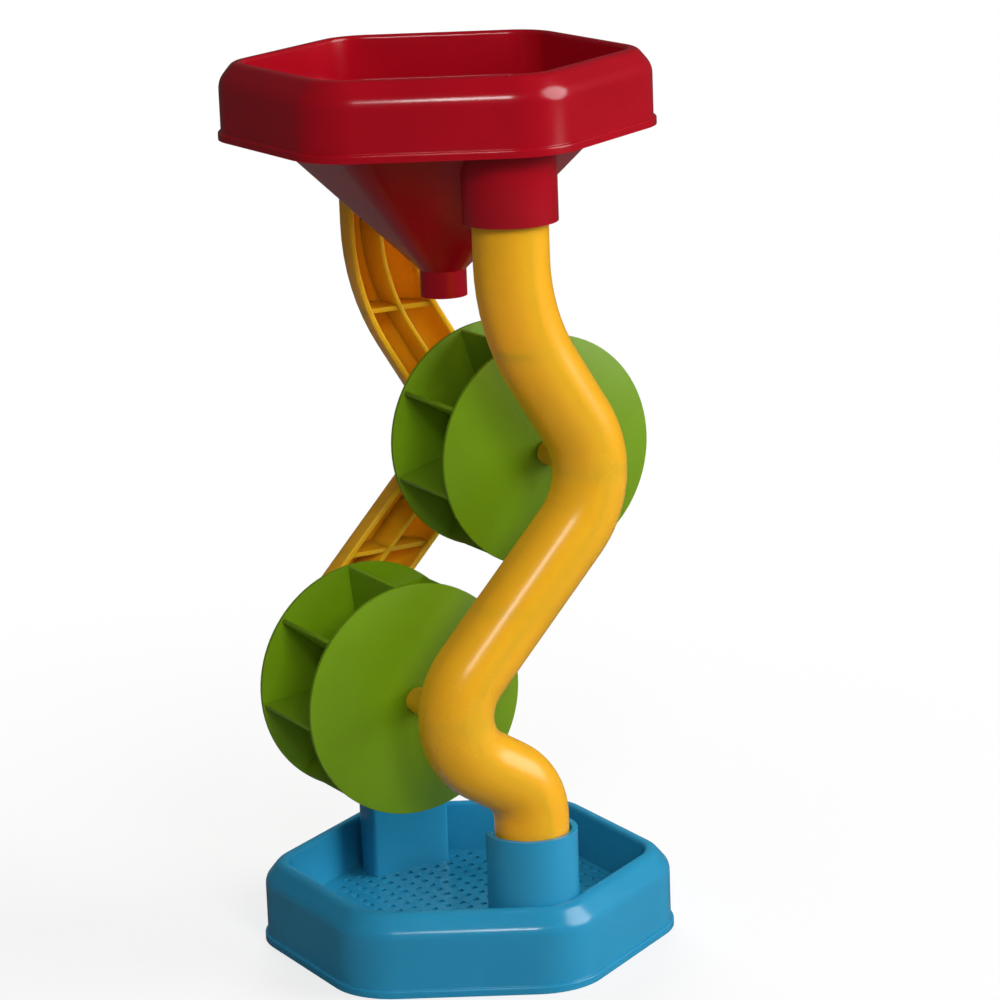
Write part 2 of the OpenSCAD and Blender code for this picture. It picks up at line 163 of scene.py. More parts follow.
class ToySizes(bpy.types.PropertyGroup):
    """Sizes of the mouldings, in metres."""

    wall: length("Wall", "Thickness of the mouldings' walls", 1.8 * MM)
    bead_out: length("Bead width", "How far the bottom bead stands out", 0.9 * MM)
    bead_height: length("Bead height", "Height of the bottom bead", 2.4 * MM)
    corner_radius: length("Corner radius", "Radius of the hexagons' corners", 21 * MM)
    shoulder_width: length("Shoulder width", "Width of a rim's sloping shoulder", 4.5 * MM)
    shoulder_height: length("Shoulder height", "Height of a rim's sloping shoulder", 5.5 * MM)
    rim_width: length("Rim width", "Width of a rim from outer wall to inner wall", 7.8 * MM)
    rim_depth: length("Rim depth", "Depth of a rim's inner wall", 16 * MM)
    tray_wall: length("Tray wall", "Height of the tray's straight outer wall", 20 * MM)
    hopper_wall: length("Hopper wall", "Height of the hopper's straight outer wall", 17.8 * MM)
    tray_shoulder_round: length("Tray shoulder", "Fillet below the tray's shoulder", 5 * MM)
    hopper_shoulder_round: length("Hopper shoulder", "Fillet below the hopper's shoulder", 7 * MM)
    crest_round: length("Crest", "Fillet of a rim's crest", 3.5 * MM)
    edge_round: length("Inner edge", "Fillet of a rim's inner edge", 1.2 * MM)
    floor_thickness: length("Floor thickness", "Thickness of the sieve floor", 2 * MM)
    hole_pitch: length("Hole pitch", "Distance between neighbouring holes", 5 * MM)
    hole_side: length("Hole side", "Side of a square hole", 2.2 * MM)
    hole_margin: length("Hole margin", "Solid margin along walls and sockets", 0.9 * MM)
    socket_round: length("Socket corners", "Fillet of a socket's upright corners", 1.6 * MM)
    socket_radius: length("Socket radius", "Outer radius of a column socket", 14.4 * MM)
    tray_socket_y: length("Tray socket place", "Distance of a tray socket from the axis", 41.7 * MM)
    socket_flat_y: length("Socket flat", "Distance of a socket's flat side from the axis", 37.05 * MM)
    socket_low: length("Hopper socket", "Height of the hopper sockets' lower edge", 234.5 * MM)
    column_y: length("Column place", "Distance of a column's middle from the axis", 42.6 * MM)
    column_radius: length("Column radius", "Outer radius of a column's round side", 11.4 * MM)
    column_side: length("Column side", "Length of a column's flat sides", 3.6 * MM)
    hopper_bend: bend_place("Hopper bend", "First bend below the hopper", 0, 204.3, 66)
    upper_bend: bend_place("Upper bend", "Bend round the upper wheel's axle", 31.7, 152.4, 28)
    lower_bend: bend_place("Lower bend", "Bend round the lower wheel's axle", -36.1, 81.4, 19.5)
    foot_bend: bend_place("Foot bend", "Last bend above the tray", 0, 59, 16)
    end_plate: length("End plate", "Radius of the plates at a column's ends", 12.45 * MM)
    rib: length("Rib", "Thickness of the ribs in a column", 1.4 * MM)
    cross_rib: length("Cross ribs", "Distance of the cross ribs above and below the upper axle", 39 * MM)
    rib_recess: length("Rib recess", "How far the long rib stays below the open side", 0.8 * MM)
    cross_recess: length("Cross rib recess", "How far the cross ribs stay below the open side", 1.4 * MM)
    boss_radius: length("Boss radius", "Radius of the bosses that hold the axles", 4 * MM)
    boss_gap: length("Boss gap", "Gap between a boss and a wheel", 0.5 * MM)
    axle_bore: length("Axle bore", "Radius of the bores in bosses", 2.02 * MM)
    spout_radius: length("Spout radius", "Outer radius of the spout", 7.2 * MM)
    spout_length: length("Spout length", "Length of the straight spout", 7.8 * MM)
    spout_lift: length("Spout lift", "How far the funnel ends above the straight spout", 1.2 * MM)
    funnel_lift: length("Funnel lift", "How far the funnel begins above the rim's inner wall", 1.7 * MM)
    funnel_round: length("Funnel rim", "Fillet between funnel and inner wall", 2.5 * MM)
    spout_round: length("Spout rim", "Fillet between funnel and spout", 2 * MM)
    disc: length("Disc", "Thickness of a wheel's discs", 1.6 * MM)
    paddle: length("Paddle", "Thickness of a paddle", 1.4 * MM)
    hub_radius: length("Hub radius", "Radius of a wheel's hub", 5 * MM)
    spigot_radius: length("Spigot radius", "Radius of the spigot that holds the cover disc", 3.6 * MM)
    wheel_bore: length("Wheel bore", "Radius of the hole for the axle", 2.08 * MM)
    cover_play: length("Cover play", "Gap between a cover disc and its spigot", 0.1 * MM)
    paddle_inset: length("Paddle inset", "How far a paddle ends inside the discs' rim", 0.4 * MM)
    edge_soft: length("Wall edges", "Fillet of the walls' open edges", 0.35 * MM)
    thin_soft: length("Thin edges", "Fillet of discs, paddles, ribs and bosses", 0.3 * MM)
    upper_turn: angle("Upper wheel", "Turn of the upper wheel's paddles", 16)
    lower_turn: angle("Lower wheel", "Turn of the lower wheel's paddles", 6)
    paddles: bpy.props.IntProperty(
        name="Paddles", description="Number of paddles on a wheel", default=8, min=3
    )


class ToyColours(bpy.types.PropertyGroup):
    """Colours of the plastics and of the stage."""

    red: colour("Hopper red", "Colour of the hopper", (0.37, 0.002, 0.01))
    yellow: colour("Column yellow", "Colour of the columns", (0.81, 0.4, 0.012))
    green: colour("Wheel green", "Colour of the wheels", (0.16, 0.3, 0.003))
    blue: colour("Tray blue", "Colour of the tray", (0.022, 0.27, 0.46))
    natural: colour("Axle", "Colour of the axle rods", (0.62, 0.6, 0.55))
    floor: colour("Floor", "Colour of the floor", (0.86, 0.86, 0.86))


# Mesh helpers


def only(kind, geometry):
    """The vertices, edges or faces among a bmesh operator's results."""
    return [g for g in geometry if isinstance(g, kind)]


def whole(bm):
    """All vertices, edges and faces."""
    return list(bm.verts) + list(bm.edges) + list(bm.faces)


def loop_edges(vertices):
    """The edges that run between the given vertices."""
    chosen = set(vertices)
    return [e for e in {e for v in vertices for e in v.link_edges} if set(e.verts) <= chosen]


def pull(bm, edges, offset):
    """Extrudes edges by an offset; returns the new vertices and edges."""
    made = bmesh.ops.extrude_edge_only(bm, edges=edges)["geom"]
    vertices = only(bmesh.types.BMVert, made)
    bmesh.ops.translate(bm, vec=offset, verts=vertices)
    return vertices, loop_edges(vertices)


def thicken(bm, thickness):
    """Gives a sheet a wall on the side that its normals point away from."""
    bmesh.ops.solidify(bm, geom=list(bm.faces), thickness=thickness)


def orient(bm, outward):
    """Makes a sheet's normals agree, and point to the side where outward(centre, normal) is positive."""
    faces = list(bm.faces)
    bmesh.ops.recalc_face_normals(bm, faces=faces)
    if sum(outward(f.calc_center_median(), f.normal) for f in faces) < 0:
        bmesh.ops.reverse_faces(bm, faces=faces)


def round_off(bm, geometry, size, segments=2, affect="EDGES"):
    """Rounds edges, or the corners of an outline, with a small fillet."""
    bmesh.ops.bevel(
        bm, geom=geometry, offset=size, segments=segments, profile=0.5, affect=affect, material=-1,
        clamp_overlap=True,
    )


def sharp_edges(bm, where):
    """Sharp edges whose middle passes a test."""
    found = []
    for e in bm.edges:
        if len(e.link_faces) == 2 and e.calc_face_angle() > EDGE_ABOVE:
            if where((e.verts[0].co + e.verts[1].co) / 2):
                found.append(e)
    return found


def bend(before, here, after, radius):
    """Start, end and centre of the arc at a corner of a path."""
    to_before = (before - here).normalized()
    to_after = (after - here).normalized()
    half = to_before.angle(to_after) / 2
    reach = radius / math.tan(half)
    centre = here + (to_before + to_after).normalized() * radius / math.sin(half)
    return here + to_before * reach, here + to_after * reach, centre


def rounded(points, steps=PATH_STEPS):
    """A path through points (x, y, radius of the fillet), with arcs at the corners."""
    path = [points[0][:2]]
    for before, here, after in zip(points, points[1:], points[2:]):
        if here[2] == 0:
            path.append(here[:2])
            continue
        start, end, centre = bend(Vector(before[:2]), Vector(here[:2]), Vector(after[:2]), here[2])
        turn = (start - centre).angle_signed(end - centre)
        for k in range(steps + 1):
            arm = start - centre
            arm.rotate(Matrix.Rotation(-turn * k / steps, 2))
            path.append(tuple(centre + arm))
    path.append(points[-1][:2])
    return path


def hexagon_point(corner, turn, half_width, radius, height):
    """A point of a rounded hexagon, turn radians round one of its corners."""
    middle = math.radians(FIRST_CORNER + SECTOR * corner)
    reach = (half_width - radius) / math.cos(HALF_SECTOR)
    return Vector((
        reach * math.cos(middle) + radius * math.cos(middle + turn),
        reach * math.sin(middle) + radius * math.sin(middle + turn),
        height,
    ))


def skin_hexagons(bm, stations):
    """Skins a sheet through rounded hexagons; a station is (half width, corner radius, height)."""
    count = CORNERS * (CORNER_STEPS + 1)
    label = bm.verts.layers.int.new("place")
    ring = bmesh.ops.create_circle(bm, segments=count, radius=1)["verts"]
    for number, vertex in enumerate(ring):
        vertex[label] = number
    edges = loop_edges(ring)
    for number, station in enumerate(stations):
        if number:
            ring, edges = pull(bm, edges, Vector())
        for vertex in ring:
            corner, step = divmod(vertex[label], CORNER_STEPS + 1)
            vertex.co = hexagon_point(corner, HALF_SECTOR * (2 * step / CORNER_STEPS - 1), *station)
    bmesh.ops.remove_doubles(bm, verts=bm.verts, dist=SKIN_MERGE)


def cut_away(bm, geometry, point, normal):
    """Cuts geometry at a plane and deletes what lies on the normal's side."""
    bmesh.ops.bisect_plane(
        bm, geom=geometry, dist=ON_PLANE, plane_co=point, plane_no=normal, clear_outer=True
    )


def spin_profile(bm, profile, steps=DISC_FACETS):
    """Turns a closed profile of (radius, place along the axle) into a ring about the Y axis."""
    vertices = [bm.verts.new((r, y, 0)) for r, y in profile]
    edges = [bm.edges.new((a, b)) for a, b in zip(vertices, vertices[1:] + vertices[:1])]
    bmesh.ops.spin(
        bm, geom=vertices + edges, cent=(0, 0, 0), axis=(0, 1, 0), dvec=(0, 0, 0), angle=math.tau,
        steps=steps, use_merge=True, use_duplicate=False,
    )


def settle(bm):
    """Merges doubles and turns all faces outwards."""
    bmesh.ops.remove_doubles(bm, verts=bm.verts, dist=PIECE_MERGE)
    bmesh.ops.dissolve_degenerate(bm, edges=bm.edges, dist=PIECE_MERGE)
    bmesh.ops.recalc_face_normals(bm, faces=bm.faces)


def make_piece(name, bm, body, node, slot):
    """Turns a bmesh into a piece that rides on a body and stands for a CAD node."""
    settle(bm)
    mesh = bpy.data.meshes.new(name)
    bm.to_mesh(mesh)
    bm.free()
    mesh.shade_smooth()
    mesh.set_sharp_from_angle(angle=SMOOTH_BELOW)
    mesh.materials.append(plastic(slot))
    piece = bpy.data.objects.new(name, mesh)
    bpy.context.scene.collection.objects.link(piece)
    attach(piece, body)
    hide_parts(node)
    return piece


def join_meshes(target, parts):
    """Adds finished bmeshes to one, and frees them."""
    for part in parts:
        mesh = bpy.data.meshes.new("part")
        part.to_mesh(mesh)
        part.free()
        target.from_mesh(mesh)
        bpy.data.meshes.remove(mesh)


# Materials

# Patterns: lumps per metre, detail and roughness
CLOUDS = (22, 3, 0.55)
FLOW = (70, 2, 0.5)
SCRATCHES = (60, 2, 0.6)
WAVES = (95, 1, 0.4)
SKIN = (900, 2, 0.5)
GRAIN = (400, 3, 0.5)
# Stops of (noise, value) that spread the clouds and pick out a few scratches
CLOUD_STOPS = ((0.3, 0.0), (0.7, 1.0))
SCRATCH_STOPS = ((0.72, 0.0), (0.82, 1.0))
# How the flow marks are distorted and stretched upwards, and how the scratches are turned and narrowed
FLOW_DISTORTION = 0.6
FLOW_STRETCH = (1, 1, 0.22)
SCRATCH_TURN = (0.5, 0.8, 0.3)
SCRATCH_STRETCH = (1, 14, 14)
# Each bump's depth in metres and its strength
WAVE_BUMP = (0.03 * MM, 0.25)
SKIN_BUMP = (0.003 * MM, 0.2)
SCRATCH_BUMP = (0.01 * MM, 0.2)
GRAIN_BUMP = (0.05 * MM, 0.2)
# How far flow marks and scratches tint the plastic, and the scratches' pale tone
FLOW_TINT = 0.12
SCRATCH_TINT = 0.01
SCRATCH_TONE = (0.8, 0.8, 0.8, 1)
# What clouds, scratches and skin add to its roughness
CLOUD_ROUGH = 0.08
SCRATCH_ROUGH = 0.03
SKIN_ROUGH = 0.01
# Refraction, share of the light that enters the plastic, and the length that its depths are counted in
IOR = 1.49
LIGHT_INSIDE = 0.5
DEPTH_UNIT = 2 * MM
# Plastics: tone, its darkest and palest factor, roughness, and depths of red, green and blue light
PLASTICS = {
    "hopper_red": ("red", 0.88, 1.06, 0.15, (0.5, 0.05, 0.05)),
    "column_yellow": ("yellow", 0.95, 1.03, 0.22, (2.2, 2.1, 0.5)),
    "wheel_green": ("green", 0.92, 1.06, 0.36, (0.3, 0.5, 0.06)),
    "tray_blue": ("blue", 0.92, 1.06, 0.17, (0.1, 0.5, 0.7)),
    "axle_plastic": ("natural", 0.9, 1.05, 0.35, (1, 1, 1)),
}


class Socket:
    """An output socket; arithmetic on it adds Math nodes to its material."""

    def __init__(self, maker, output):
        self.maker = maker
        self.output = output

    def math(self, operation, first, second):
        return self.maker.node("ShaderNodeMath", {"operation": operation}, {0: first, 1: second})

    def __add__(self, other):
        return self.math("ADD", self, other)

    def __radd__(self, other):
        return self.math("ADD", other, self)

    def __sub__(self, other):
        return self.math("SUBTRACT", self, other)

    def __rsub__(self, other):
        return self.math("SUBTRACT", other, self)

    def __mul__(self, other):
        return self.math("MULTIPLY", self, other)

    def __rmul__(self, other):
        return self.math("MULTIPLY", other, self)


class Surface:
    """A material whose nodes are made from Python expressions."""

    def __init__(self, name):
        self.material = bpy.data.materials.new(name)
        self.material.use_nodes = True
        self.tree = self.material.node_tree
        self.tree.nodes.clear()
        self.place = self.node("ShaderNodeTexCoord", {}, {}, "Object")

    def node(self, kind, settings, inputs, result=0):
        """Adds a node, with its settings set first, and returns one of its outputs."""
        made = self.tree.nodes.new(kind)
        for key, value in settings.items():
            if key == "stops":
                ramp = made.color_ramp
                while len(ramp.elements) < len(value):
                    ramp.elements.new(1)
                for element, (position, level) in zip(ramp.elements, value):
                    element.position = position
                    element.color = (level, level, level, 1)
            else:
                setattr(made, key, value)
        for key, value in inputs.items():
            if isinstance(value, Socket):
                self.tree.links.new(value.output, made.inputs[key])
            else:
                made.inputs[key].default_value = value
        return Socket(self, made.outputs[result]) if len(made.outputs) else made

    def noise(self, scale, detail, roughness, place=None, distortion=0.0):
        """Noise in object space; scale is in lumps per metre."""
        return self.node("ShaderNodeTexNoise", {}, {
            "Vector": place or self.place, "Scale": scale, "Detail": detail, "Roughness": roughness,
            "Distortion": distortion,
        })

    def mapped(self, **changes):
        """Object space, turned or stretched."""
        return self.node("ShaderNodeMapping", {}, {"Vector": self.place, **changes})

    def ramp(self, factor, stops):
        """A number that follows stops of (factor, value)."""
        return self.node("ShaderNodeValToRGB", {"stops": stops}, {"Fac": factor})

    def mix(self, factor, first, second):
        """Mixes two colours."""
        inputs = {0: factor, 6: first, 7: second}
        return self.node("ShaderNodeMix", {"data_type": "RGBA"}, inputs, 2)

    def bump(self, height, distance, strength, normal=None):
        """Raises the surface by a height from 0 to 1, times a distance in metres."""
        inputs = {"Height": height, "Distance": distance, "Strength": strength}
        if normal:
            inputs["Normal"] = normal
        return self.node("ShaderNodeBump", {}, inputs)

    def finish(self, **inputs):
        """Adds the shader and the output."""
        names = {key.replace("_", " "): value for key, value in inputs.items()}
        shader = self.node("ShaderNodeBsdfPrincipled", {}, names)
        self.node("ShaderNodeOutputMaterial", {}, {"Surface": shader})
        return self.material


def shade(tone, factor):
    """A colour made lighter or darker, with its alpha."""
    return (*(min(1, c * factor) for c in tone), 1)


def moulded_plastic(name, tone, dark, pale, polish, depths):
    """Glossy moulded plastic: clouds in its tone, faint flow marks, a fine skin and light scratches."""
    surface = Surface(name)
    clouds = surface.noise(*CLOUDS)
    flow_place = surface.mapped(Scale=FLOW_STRETCH)
    flow = surface.noise(*FLOW, flow_place, FLOW_DISTORTION)
    scratch_place = surface.mapped(Rotation=SCRATCH_TURN, Scale=SCRATCH_STRETCH)
    scratch = surface.ramp(surface.noise(*SCRATCHES, scratch_place), SCRATCH_STOPS)
    skin = surface.noise(*SKIN)
    base = surface.mix(surface.ramp(clouds, CLOUD_STOPS), shade(tone, dark), shade(tone, pale))
    base = surface.mix(flow * FLOW_TINT, base, shade(tone, dark))
    base = surface.mix(scratch * SCRATCH_TINT, base, SCRATCH_TONE)
    normal = surface.bump(surface.noise(*WAVES), *WAVE_BUMP)
    normal = surface.bump(skin, *SKIN_BUMP, normal)
    normal = surface.bump(1 - scratch, *SCRATCH_BUMP, normal)
    rough = polish + CLOUD_ROUGH * clouds + SCRATCH_ROUGH * scratch + SKIN_ROUGH * skin
    return surface.finish(
        Base_Color=base, Roughness=rough, Normal=normal, IOR=IOR, Subsurface_Weight=LIGHT_INSIDE,
        Subsurface_Radius=depths, Subsurface_Scale=DEPTH_UNIT,
    )


MATERIALS = {}


def plastic(slot):
    """The material of a slot, made on first use."""
    if slot not in MATERIALS:
        tone, *recipe = PLASTICS[slot]
        tone = getattr(bpy.context.scene.sand_toy_colours, tone)
        MATERIALS[slot] = moulded_plastic(slot, tone, *recipe)
    return MATERIALS[slot]


# Shared outlines


def rim_path(sizes, half_width, low, high, shoulder_round):
    """Outline of a rim from its bottom bead over the crest, as (half width, height, fillet)."""
    return [
        (half_width + sizes.bead_out, low, 0),
        (half_width + sizes.bead_out, low + sizes.bead_height, sizes.bead_out * BEAD_ROUND_SHARES[0]),
        (half_width, low + sizes.bead_height, sizes.bead_out * BEAD_ROUND_SHARES[1]),
        (half_width, high - sizes.shoulder_height, shoulder_round),
        (half_width - sizes.shoulder_width, high, sizes.crest_round),
        (half_width - sizes.rim_width, high, sizes.edge_round),
    ]


def socket_outline(bm, sizes, middle_y, height):
    """Closed outline of the front socket: a circle with a divided flat side and softened corners."""
    ring = bmesh.ops.create_circle(bm, segments=SOCKET_FACETS, radius=sizes.socket_radius)["verts"]
    bmesh.ops.translate(bm, verts=ring, vec=(0, -middle_y, height))
    cut_away(bm, ring + loop_edges(ring), (0, -sizes.socket_flat_y, 0), (0, 1, 0))
    ends = [v for v in bm.verts if len(v.link_edges) == 1]
    bm.edges.new(ends)
    round_off(bm, ends, sizes.socket_round, SOCKET_STEPS, "VERTICES")
    flat = max(bm.edges, key=lambda e: e.calc_length())
    bmesh.ops.subdivide_edges(bm, edges=[flat], cuts=FLAT_CUTS)
    return list(bm.edges)


def mirrored(bm):
    """Adds the mirror image of a front piece at the rear."""
    copy = bmesh.ops.duplicate(bm, geom=whole(bm))["geom"]
    bmesh.ops.scale(bm, vec=(1, -1, 1), verts=only(bmesh.types.BMVert, copy))
    bmesh.ops.reverse_faces(bm, faces=only(bmesh.types.BMFace, copy))


# Tray


def floor_sheet(sizes, half_width, top):
    """The sieve floor, with its square holes, trimmed to the middle of the rim's inner wall."""
    bm = bmesh.new()
    pitch = sizes.hole_pitch
    cells = 2 * math.ceil(half_width / pitch / math.cos(HALF_SECTOR))
    bmesh.ops.create_grid(bm, x_segments=cells, y_segments=cells + 1, size=1)
    bmesh.ops.scale(bm, vec=(cells * pitch / 2, (cells + 1) * pitch / 2, 1), verts=bm.verts)
    reach = half_width - sizes.rim_width - sizes.hole_margin - sizes.hole_side
    clear = sizes.hole_margin + sizes.hole_side / 2

    def open_cell(centre):
        """Whether a cell of the grid has a hole."""
        x, y = centre.x, abs(centre.y)
        turns = (k * 2 * HALF_SECTOR for k in range(CORNERS))
        out = max(x * math.cos(turn) + centre.y * math.sin(turn) for turn in turns)
        off_socket = math.hypot(x, sizes.tray_socket_y - y) > sizes.socket_radius + clear
        return out < reach and (off_socket or y < sizes.socket_flat_y - clear)

    holes = [f for f in bm.faces if open_cell(f.calc_center_median())]
    bar = pitch - sizes.hole_side
    bmesh.ops.inset_individual(bm, faces=holes, thickness=bar / 2, use_even_offset=True)
    bmesh.ops.delete(bm, geom=holes, context="FACES")
    inset = sizes.rim_width - sizes.wall / 2
    corner = (half_width - sizes.corner_radius) / math.cos(HALF_SECTOR) + sizes.corner_radius - inset
    for k in range(2 * CORNERS):
        turn = HALF_SECTOR * k
        distance = corner if k % 2 else half_width - inset
        outward = Vector((math.cos(turn), math.sin(turn), 0))
        cut_away(bm, whole(bm), outward * distance, outward)
    bmesh.ops.translate(bm, vec=(0, 0, top), verts=bm.verts)
    orient(bm, lambda centre, normal: normal.z)
    thicken(bm, sizes.floor_thickness)
    return bm


def socket_tube(sizes, middle_y, low, high):
    """The wall of the front socket."""
    bm = bmesh.new()
    pull(bm, socket_outline(bm, sizes, middle_y, low), Vector((0, 0, high - low)))
    middle = Vector((0, -middle_y, 0))
    orient(bm, lambda centre, normal: normal.dot(centre - middle))
    thicken(bm, sizes.wall)
    return bm


class SANDTOY_OT_tray(bpy.types.Operator):
    """Build the hexagonal sieve tray with its two column sockets"""

    bl_idname = "sandtoy.tray"
    bl_label = "Sieve tray"

    def execute(self, context):
        sizes = context.scene.sand_toy_sizes
        half_width = TRAY_HIGH.x - sizes.bead_out
        rim_top = TRAY_LOW.z + sizes.tray_wall + sizes.shoulder_height
        floor_top = rim_top - sizes.rim_depth
        bm = bmesh.new()
        path = rounded(
            rim_path(sizes, half_width, TRAY_LOW.z, rim_top, sizes.tray_shoulder_round)
            + [(half_width - sizes.rim_width, floor_top - sizes.floor_thickness, 0)]
        )
        skin_hexagons(bm, [(a, sizes.corner_radius + a - half_width, z) for a, z in path])
        orient(bm, lambda centre, normal: normal.z)
        thicken(bm, sizes.wall)
        tubes = socket_tube(sizes, sizes.tray_socket_y, floor_top - sizes.floor_thickness / 2, TRAY_HIGH.z)
        near = sizes.wall * NEAR_SHARE
        top_edges = sharp_edges(tubes, lambda p: p.z > TRAY_HIGH.z - near)
        round_off(tubes, top_edges, sizes.edge_soft, WALL_EDGE_STEPS)
        mirrored(tubes)
        join_meshes(bm, [floor_sheet(sizes, half_width, floor_top), tubes])
        make_piece("tray_moulding", bm, "frame", "base_tray", "tray_blue")
        return {"FINISHED"}


# Hopper


class SANDTOY_OT_hopper(bpy.types.Operator):
    """Build the hexagonal hopper with its funnel, spout and two column sockets"""

    bl_idname = "sandtoy.hopper"
    bl_label = "Hopper"

    def execute(self, context):
        sizes = context.scene.sand_toy_sizes
        half_width = HOPPER_HIGH.x - sizes.bead_out
        rim_low = HOPPER_HIGH.z - sizes.shoulder_height - sizes.hopper_wall
        inner = half_width - sizes.rim_width
        bore = sizes.spout_radius - sizes.wall
        spout_top = HOPPER_LOW.z + sizes.spout_length + sizes.spout_lift
        funnel_top = HOPPER_HIGH.z - sizes.rim_depth + sizes.funnel_lift
        funnel = [
            (inner, funnel_top, sizes.funnel_round), (bore, spout_top, sizes.spout_round),
            (bore, HOPPER_LOW.z, 0),
        ]
        rim = rim_path(sizes, half_width, rim_low, HOPPER_HIGH.z, sizes.hopper_shoulder_round)
        path = rounded(rim + funnel, HOPPER_PATH_STEPS)
        inner_round = sizes.corner_radius - sizes.rim_width

        def corner_at(a):
            """Radius of the corners where the hexagon has a half width of a."""
            if a >= inner:
                return inner_round + a - inner
            return bore + (a - bore) / (inner - bore) * (inner_round - bore)

        stations = []
        for (a, z), (next_a, next_z) in zip(path, path[1:] + path[-1:]):
            stations.append((a, z))
            # The funnel's slope is the one long step
            if a - next_a > inner / 2:
                for k in range(1, FUNNEL_STEPS):
                    part = k / FUNNEL_STEPS
                    stations.append((a + (next_a - a) * part, z + (next_z - z) * part))
        bm = bmesh.new()
        skin_hexagons(bm, [(a, corner_at(a), z) for a, z in stations])
        orient(bm, lambda centre, normal: normal.z)
        thicken(bm, sizes.wall)

        def funnel_height(point):
            """Height at which the funnel's wall passes a point."""
            low, high = spout_top, funnel_top
            for _ in range(HALVINGS):
                middle = (low + high) / 2
                a = bore + (inner - bore) * (middle - spout_top) / (funnel_top - spout_top)
                if inside_hexagon(point, a, corner_at(a)):
                    high = middle
                else:
                    low = middle
            return low - sizes.wall * SOCKET_BITE_SHARE

        tubes = socket_tube(sizes, sizes.column_y, sizes.socket_low, funnel_top)
        for vertex in tubes.verts:
            if vertex.co.z > sizes.socket_low + sizes.wall:
                vertex.co.z = funnel_height(vertex.co)
        near = sizes.wall * NEAR_SHARE
        low_edges = sharp_edges(tubes, lambda p: p.z < sizes.socket_low + near)
        round_off(tubes, low_edges, sizes.edge_soft, WALL_EDGE_STEPS)
        mirrored(tubes)
        join_meshes(bm, [tubes])
        make_piece("hopper_moulding", bm, "frame", "hopper", "hopper_red")
        return {"FINISHED"}


def inside_hexagon(point, half_width, radius):
    """Whether a point lies inside a rounded hexagon, which is a smaller hexagon grown by a radius."""
    core = half_width - radius
    reach = core / math.cos(HALF_SECTOR)
    flat = Vector((abs(point.x), abs(point.y)))
    faces = [Vector((math.cos(turn), math.sin(turn))) for turn in (0, 2 * HALF_SECTOR)]
    if all(flat.dot(face) <= core for face in faces):
        return True
    turns = (-HALF_SECTOR, HALF_SECTOR, 3 * HALF_SECTOR)
    corners = [Vector((reach * math.cos(turn), reach * math.sin(turn))) for turn in turns]

    def distance(start, end):
        """Distance from the point to a side of the smaller hexagon."""
        side = end - start
        share = (flat - start).dot(side) / max(side.length_squared, 1e-12)
        return (flat - (start + side * max(0, min(1, share)))).length

    return min(distance(start, end) for start, end in zip(corners, corners[1:])) <= radius


# Columns


def zigzag(sizes):
    """A column's path from the hopper to the tray: its top, its bends and its foot."""
    top, foot = (Vector((0, 0, height)) for height in (COLUMN_HIGH.z, COLUMN_LOW.z))
    bends = (sizes.hopper_bend, sizes.upper_bend, sizes.lower_bend, sizes.foot_bend)
    corners = [top, *(Vector((x, 0, z)) for x, z, _ in bends), foot]
    arcs = [
        (here, *bend(before, here, after, radius))
        for before, here, after, (_, _, radius) in zip(corners, corners[1:], corners[2:], bends)
    ]
    return top, arcs, foot


def sweep(bm, edges, sizes):
    """Sweeps a section at the column's top along its zigzag path."""
    reached, arcs, foot = zigzag(sizes)
    vertices = list({v for e in edges for v in e.verts})
    for here, start, end, centre in arcs:
        vertices, edges = pull(bm, edges, start - reached)
        turn = (start - centre).angle(end - centre)
        side = (start - centre).cross(here - start).y
        steps = max(LEAST_BEND_STEPS, round(math.degrees(turn) / BEND_STEP))
        made = bmesh.ops.spin(
            bm, geom=vertices + edges, cent=centre, axis=(0, 1, 0), dvec=(0, 0, 0),
            angle=math.copysign(turn, side), steps=steps, use_merge=False, use_duplicate=False,
        )["geom_last"]
        vertices = only(bmesh.types.BMVert, made)
        edges = only(bmesh.types.BMEdge, made)
        reached = end
    pull(bm, edges, foot - reached)


def path_at(sizes, height):
    """Place and lean of the zigzag at a height: (x, width factor)."""
    reached, arcs, foot = zigzag(sizes)
    for here, start, end, centre in arcs:
        if reached.z >= height >= start.z:
            return straight_at(reached, start, height)
        if start.z >= height >= end.z:
            radius = (start - centre).length
            reach = math.sqrt(radius ** 2 - (height - centre.z) ** 2)
            return centre.x - math.copysign(reach, centre.x - here.x), radius / reach
        reached = end
    return straight_at(reached, foot, height)


def straight_at(upper, lower, height):
    """Place and lean at a height between two points of the path."""
    lean = (upper - lower).length / (upper.z - lower.z)
    return upper.x + (lower.x - upper.x) * (upper.z - height) / (upper.z - lower.z), lean


def column_shell(sizes):
    """The U-shaped wall of the front column, open towards the wheels."""
    bm = bmesh.new()
    ring = bmesh.ops.create_circle(bm, segments=COLUMN_FACETS, radius=sizes.column_radius)["verts"]
    cut_away(bm, ring + loop_edges(ring), (0, 0, 0), (0, 1, 0))
    ends = [v for v in bm.verts if len(v.link_edges) == 1]
    for _ in range(SIDE_STEPS):
        ends = bmesh.ops.extrude_vert_indiv(bm, verts=ends)["verts"]
        bmesh.ops.translate(bm, verts=ends, vec=(0, sizes.column_side / SIDE_STEPS, 0))
    bmesh.ops.translate(bm, verts=bm.verts, vec=(0, -sizes.column_y, COLUMN_HIGH.z))
    sweep(bm, list(bm.edges), sizes)
    settle(bm)
    orient(bm, lambda centre, normal: -normal.y)
    thicken(bm, sizes.wall)
    lip = sizes.column_side - sizes.column_y - sizes.wall * NEAR_SHARE
    round_off(bm, sharp_edges(bm, lambda p: p.y > lip), sizes.edge_soft, WALL_EDGE_STEPS)
    return bm


